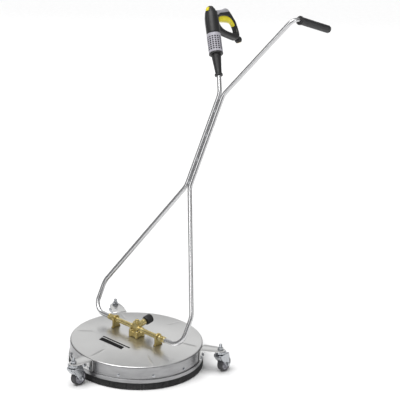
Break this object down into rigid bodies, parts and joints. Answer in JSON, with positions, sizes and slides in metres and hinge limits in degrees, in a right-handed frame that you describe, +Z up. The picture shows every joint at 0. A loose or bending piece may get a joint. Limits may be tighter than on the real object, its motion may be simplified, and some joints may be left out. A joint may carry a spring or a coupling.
{
  "type": "surface cleaner",
  "caption": "Rotary surface cleaner: round steel deck on castors with a brush skirt, brass swivel, tilting two-tube lance, plain grip and trigger gun.",
  "frame": {"origin": "middle of the whole object's footprint, on the floor it stands on", "axes": "+Z up, the operator stands on the +Y side, +X is the operator's left as they look forwards along -Y, the lance axle runs along X"},
  "size_m": [0.6336, 1.175, 1.3368],
  "materials": {
    "deck_steel": "satin polished stainless sheet",
    "tube_steel": "polished stainless tube",
    "zinc_steel": "bright zinc plated steel",
    "plain_steel": "ground steel",
    "brass": "machined brass",
    "bristle": "black nylon bristle",
    "seal_rubber": "moulded rubber",
    "tyre": "dark grey rubber tread",
    "rim_plastic": "grey moulded plastic",
    "black_plastic": "fine grained black moulding",
    "grey_plastic": "light grey moulding",
    "grey_rubber": "soft grey overmould",
    "yellow_plastic": "yellow moulding"
  },
  "bodies": {
    "deck": {"deck_shell": "deck_steel", "brush_carrier": "deck_steel", "brush_ring": "bristle", "hub_plate": "plain_steel", "castor_bracket_front": "deck_steel", "castor_bracket_left": "deck_steel", "castor_bracket_right": "deck_steel", "castor_stem_front": "zinc_steel", "castor_stem_left": "zinc_steel", "castor_stem_right": "zinc_steel", "castor_nut_front": "zinc_steel", "castor_nut_left": "zinc_steel", "castor_nut_right": "zinc_steel", "swivel_housing": "brass", "swivel_top_plug": "brass", "axle_pipe_left": "brass", "axle_pipe_right": "brass", "pedestal_left": "brass", "pedestal_right": "brass", "valve_body": "brass", "rotor_bearing_upper": "plain_steel", "rotor_bearing_lower": "plain_steel", "shaft_seal": "seal_rubber"},
    "valve_knob": {"valve_knob": "black_plastic"},
    "rotor": {"rotor_shaft": "plain_steel", "rotor_hub": "brass", "rotor_nut": "zinc_steel", "spray_arm_a": "tube_steel", "spray_arm_b": "tube_steel", "spray_jet_a": "brass", "spray_jet_b": "brass"},
    "lance": {"lance_coupling_left": "brass", "lance_coupling_right": "brass", "lance_tube_left": "tube_steel", "lance_tube_right": "tube_steel", "lance_grip": "black_plastic", "gun_collar": "black_plastic", "gun_cone": "black_plastic", "gun_ring": "black_plastic", "gun_sleeve": "grey_plastic", "gun_shell_left": "black_plastic", "gun_shell_right": "black_plastic", "gun_valve": "brass", "gun_pad": "grey_rubber", "gun_trigger_pin": "plain_steel", "gun_inlet": "black_plastic"},
    "trigger": {"gun_trigger": "yellow_plastic"},
    "latch": {"gun_latch": "yellow_plastic"},
    "castor_front": {"castor_fork_front": "zinc_steel", "castor_bolt_front": "zinc_steel"},
    "wheel_front": {"castor_tyre_front": "tyre", "castor_hub_front": "rim_plastic"},
    "castor_left": {"castor_fork_left": "zinc_steel", "castor_bolt_left": "zinc_steel"},
    "wheel_left": {"castor_tyre_left": "tyre", "castor_hub_left": "rim_plastic"},
    "castor_right": {"castor_fork_right": "zinc_steel", "castor_bolt_right": "zinc_steel"},
    "wheel_right": {"castor_tyre_right": "tyre", "castor_hub_right": "rim_plastic"}
  },
  "joints": [
    {"name": "lance_tilt", "type": "hinge", "parent": "deck", "child": "lance", "pos_m": [0.00226, -0.22747, 0.142], "axis": [1, 0, 0], "range_deg": [-50, 30]},
    {"name": "rotor_spin", "type": "hinge", "parent": "deck", "child": "rotor", "pos_m": [0.00226, -0.22747, 0.067], "axis": [0, 0, 1], "continuous": true},
    {"name": "valve_turn", "type": "hinge", "parent": "deck", "child": "valve_knob", "pos_m": [0.00226, -0.22747, 0.15], "axis": [0, 0.9848, 0.1736], "range_deg": [0, 270]},
    {"name": "trigger_pull", "type": "hinge", "parent": "lance", "child": "trigger", "pos_m": [-0.19532, 0.38471, 1.25235], "axis": [0.8339, 0.248, 0.4931], "range_deg": [0, 5], "stiffness_Nm_per_rad": 6, "springref_deg": -5.73},
    {"name": "latch_push", "type": "slide", "parent": "lance", "child": "latch", "axis": [0, 0.8934, -0.4493], "range_m": [0, 0.004]},
    {"name": "castor_front_swivel", "type": "hinge", "parent": "deck", "child": "castor_front", "pos_m": [0.00226, -0.56547, 0.08], "axis": [0, 0, 1], "continuous": true},
    {"name": "wheel_front_roll", "type": "hinge", "parent": "castor_front", "child": "wheel_front", "pos_m": [0.00226, -0.53847, 0.031], "axis": [1, 0, 0], "continuous": true},
    {"name": "castor_left_swivel", "type": "hinge", "parent": "deck", "child": "castor_left", "pos_m": [0.29497, -0.05847, 0.08], "axis": [0, 0, 1], "continuous": true},
    {"name": "wheel_left_roll", "type": "hinge", "parent": "castor_left", "child": "wheel_left", "pos_m": [0.29122, -0.03173, 0.031], "axis": [0.9903, 0.1392, 0], "continuous": true},
    {"name": "castor_right_swivel", "type": "hinge", "parent": "deck", "child": "castor_right", "pos_m": [-0.29046, -0.05847, 0.08], "axis": [0, 0, 1], "continuous": true},
    {"name": "wheel_right_roll", "type": "hinge", "parent": "castor_right", "child": "wheel_right", "pos_m": [-0.29046, -0.03147, 0.031], "axis": [1, 0, 0], "continuous": true}
  ]
}
